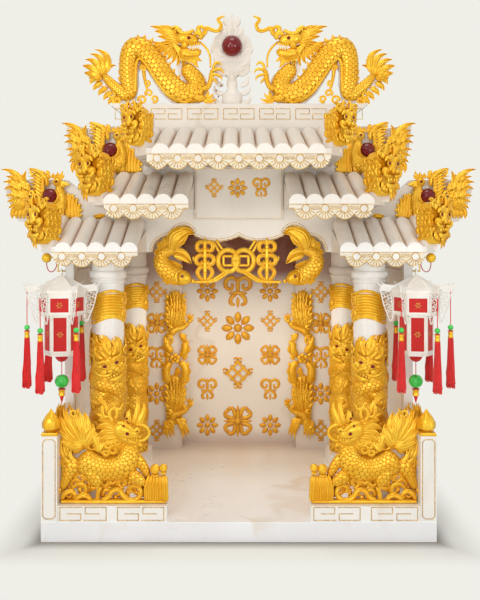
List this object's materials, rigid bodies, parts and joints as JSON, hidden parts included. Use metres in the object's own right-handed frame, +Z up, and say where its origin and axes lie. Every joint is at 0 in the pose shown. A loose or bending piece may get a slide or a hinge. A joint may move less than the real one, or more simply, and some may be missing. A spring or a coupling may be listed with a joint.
{
  "type": "earth god shrine",
  "caption": "Household earth god shrine: open-fronted marble pavilion with an arch, tiered tile roofs, gilt carvings and hanging lanterns.",
  "frame": {"origin": "centre of the base slab's underside", "axes": "+X to the right seen from the front, +Y to the back, +Z up"},
  "size_m": [0.824, 0.5206, 0.8664],
  "materials": {
    "marble": "polished white marble",
    "gilt": "carved stone with gold leaf paint",
    "petal_lace": "cream petals with gold lines",
    "gold_line": "gold paint in cut lines",
    "red_glass": "polished crimson glass",
    "hook_wire": "drawn wire",
    "red_cord": "twisted cord",
    "lantern_frame": "moulded ivory filigree",
    "lantern_panel": "red cloth",
    "red_silk": "silk thread",
    "green_bead": "moulded bead"
  },
  "bodies": {
    "shrine": {"base_slab": "marble", "corner_posts": "marble", "post_finials": "gilt", "front_plinths": "marble", "side_plinths": "marble", "front_fence_carvings": "gilt", "side_fence_carvings": "gilt", "column_plinths": "marble", "front_columns": "marble", "back_columns": "marble", "cloud_bands": "gilt", "front_column_dragons": "gilt", "back_column_dragons": "gilt", "side_walls": "marble", "back_side_panels": "marble", "recess_jambs": "marble", "back_centre_panel": "marble", "rear_boards": "marble", "deck": "marble", "arch_wall": "marble", "plaque": "marble", "arch_carps": "gilt", "coin_fretwork": "gilt", "phoenix_strips": "gilt", "lower_roofs": "marble", "middle_roofs": "marble", "top_roof": "marble", "lower_lace": "petal_lace", "middle_lace": "petal_lace", "top_lace": "petal_lace", "lower_wing_boards": "marble", "middle_wing_boards": "marble", "lower_phoenixes": "gilt", "middle_phoenixes": "gilt", "lower_corner_masks": "gilt", "middle_corner_masks": "gilt", "top_corner_masks": "gilt", "corner_drops": "gilt", "ridge_block": "marble", "ridge_dragons": "gilt", "ridge_backing": "marble", "flame_board": "marble", "pearl": "red_glass", "lantern_hooks": "hook_wire", "hanging_cords": "red_cord"},
    "hanging_lantern_left": {"left_lantern": "lantern_frame", "left_lantern_tassels": "red_silk", "left_lantern_pendant": "green_bead"},
    "hanging_lantern_right": {"right_lantern": "lantern_frame", "right_lantern_tassels": "red_silk", "right_lantern_pendant": "green_bead"}
  },
  "joints": [
    {"name": "left_lantern_swing", "type": "hinge", "parent": "shrine", "child": "hanging_lantern_left", "pos_m": [-0.284, -0.196, 0.416], "axis": [1, 0, 0], "range_deg": [-6, 6]},
    {"name": "right_lantern_swing", "type": "hinge", "parent": "shrine", "child": "hanging_lantern_right", "pos_m": [0.284, -0.196, 0.416], "axis": [1, 0, 0], "range_deg": [-6, 6]}
  ]
}
